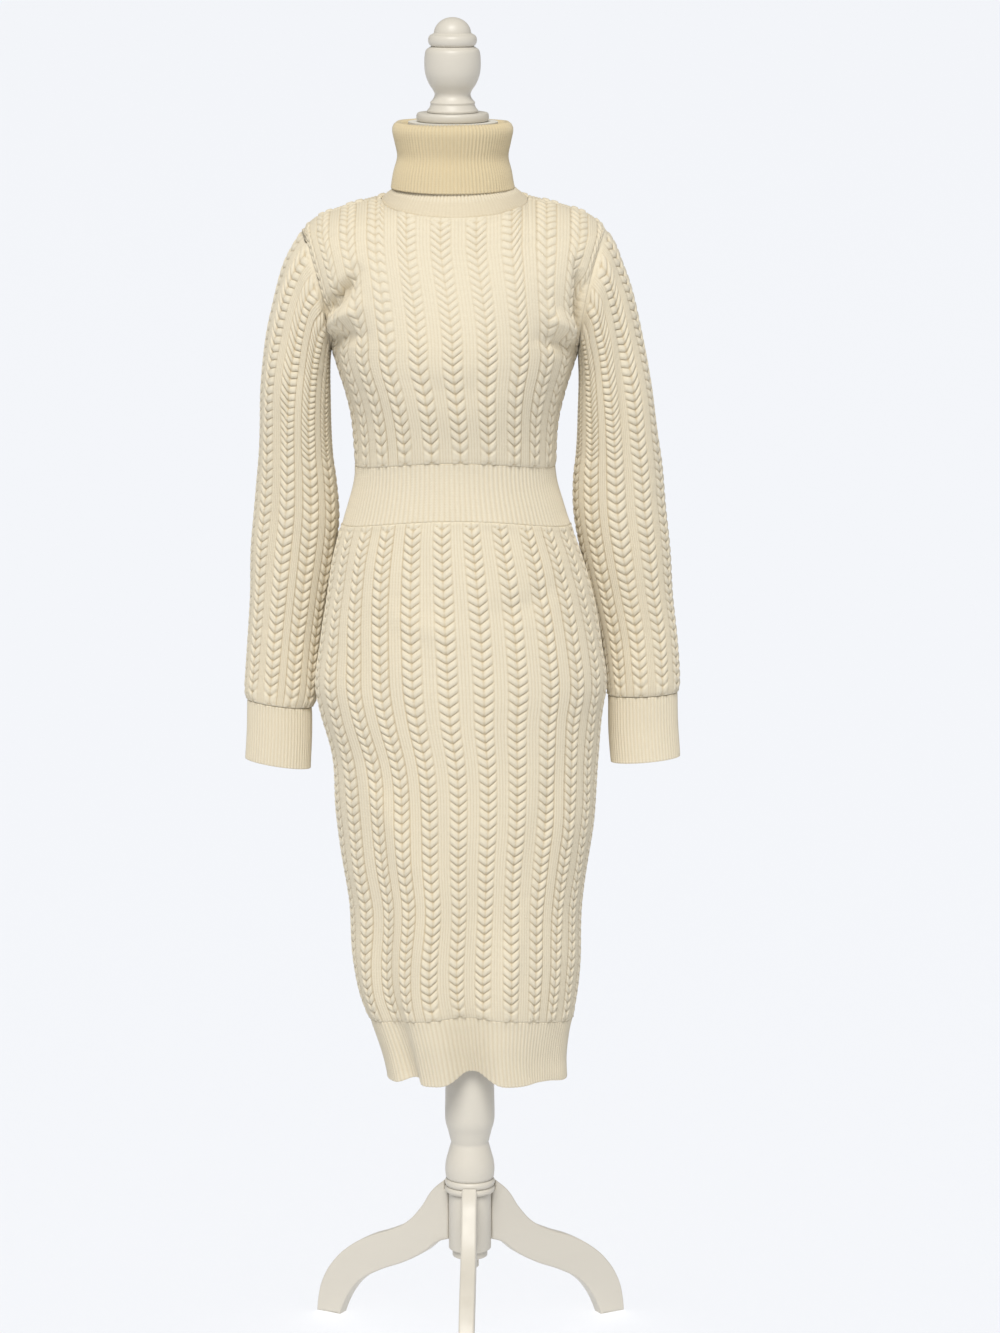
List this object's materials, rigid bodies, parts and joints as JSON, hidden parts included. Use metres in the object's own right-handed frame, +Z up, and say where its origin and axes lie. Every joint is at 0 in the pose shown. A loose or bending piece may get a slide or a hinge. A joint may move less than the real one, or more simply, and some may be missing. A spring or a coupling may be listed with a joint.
{
  "type": "sweater dress on a dress form",
  "caption": "Long-sleeved fitted cable-knit sweater dress with a folded turtleneck, standing on a turned dress form with scroll legs.",
  "frame": {"origin": "centre of the footprint on the floor, under the middle of the whole object's box", "axes": "+Z up along the form's pole, -Y towards the front of the dress, +X to the right as seen from the front"},
  "size_m": [0.5089, 0.3351, 1.563],
  "materials": {
    "knit": "cream cable knit, soft matt yarn with a light fuzz",
    "rib_knit": "cream fine rib knit, soft matt yarn",
    "torso_cover": "off-white plain woven cover, matt",
    "painted_wood": "wood painted off-white, satin"
  },
  "bodies": {
    "root": {"bodice_front": "knit", "bodice_back": "knit", "waist_band": "rib_knit", "skirt_front": "knit", "skirt_back": "knit", "hem_band": "rib_knit", "sleeve_left": "knit", "sleeve_right": "knit", "cuff_left": "rib_knit", "cuff_right": "rib_knit", "neck_band": "rib_knit", "turtleneck": "rib_knit", "torso": "torso_cover", "finial": "painted_wood", "neck_plate": "painted_wood", "post": "painted_wood", "ring_collar": "painted_wood", "hub": "painted_wood", "hub_nut": "painted_wood", "hub_bolt": "painted_wood", "leg_front": "painted_wood", "leg_back_right": "painted_wood", "leg_back_left": "painted_wood"}
  },
  "joints": []
}
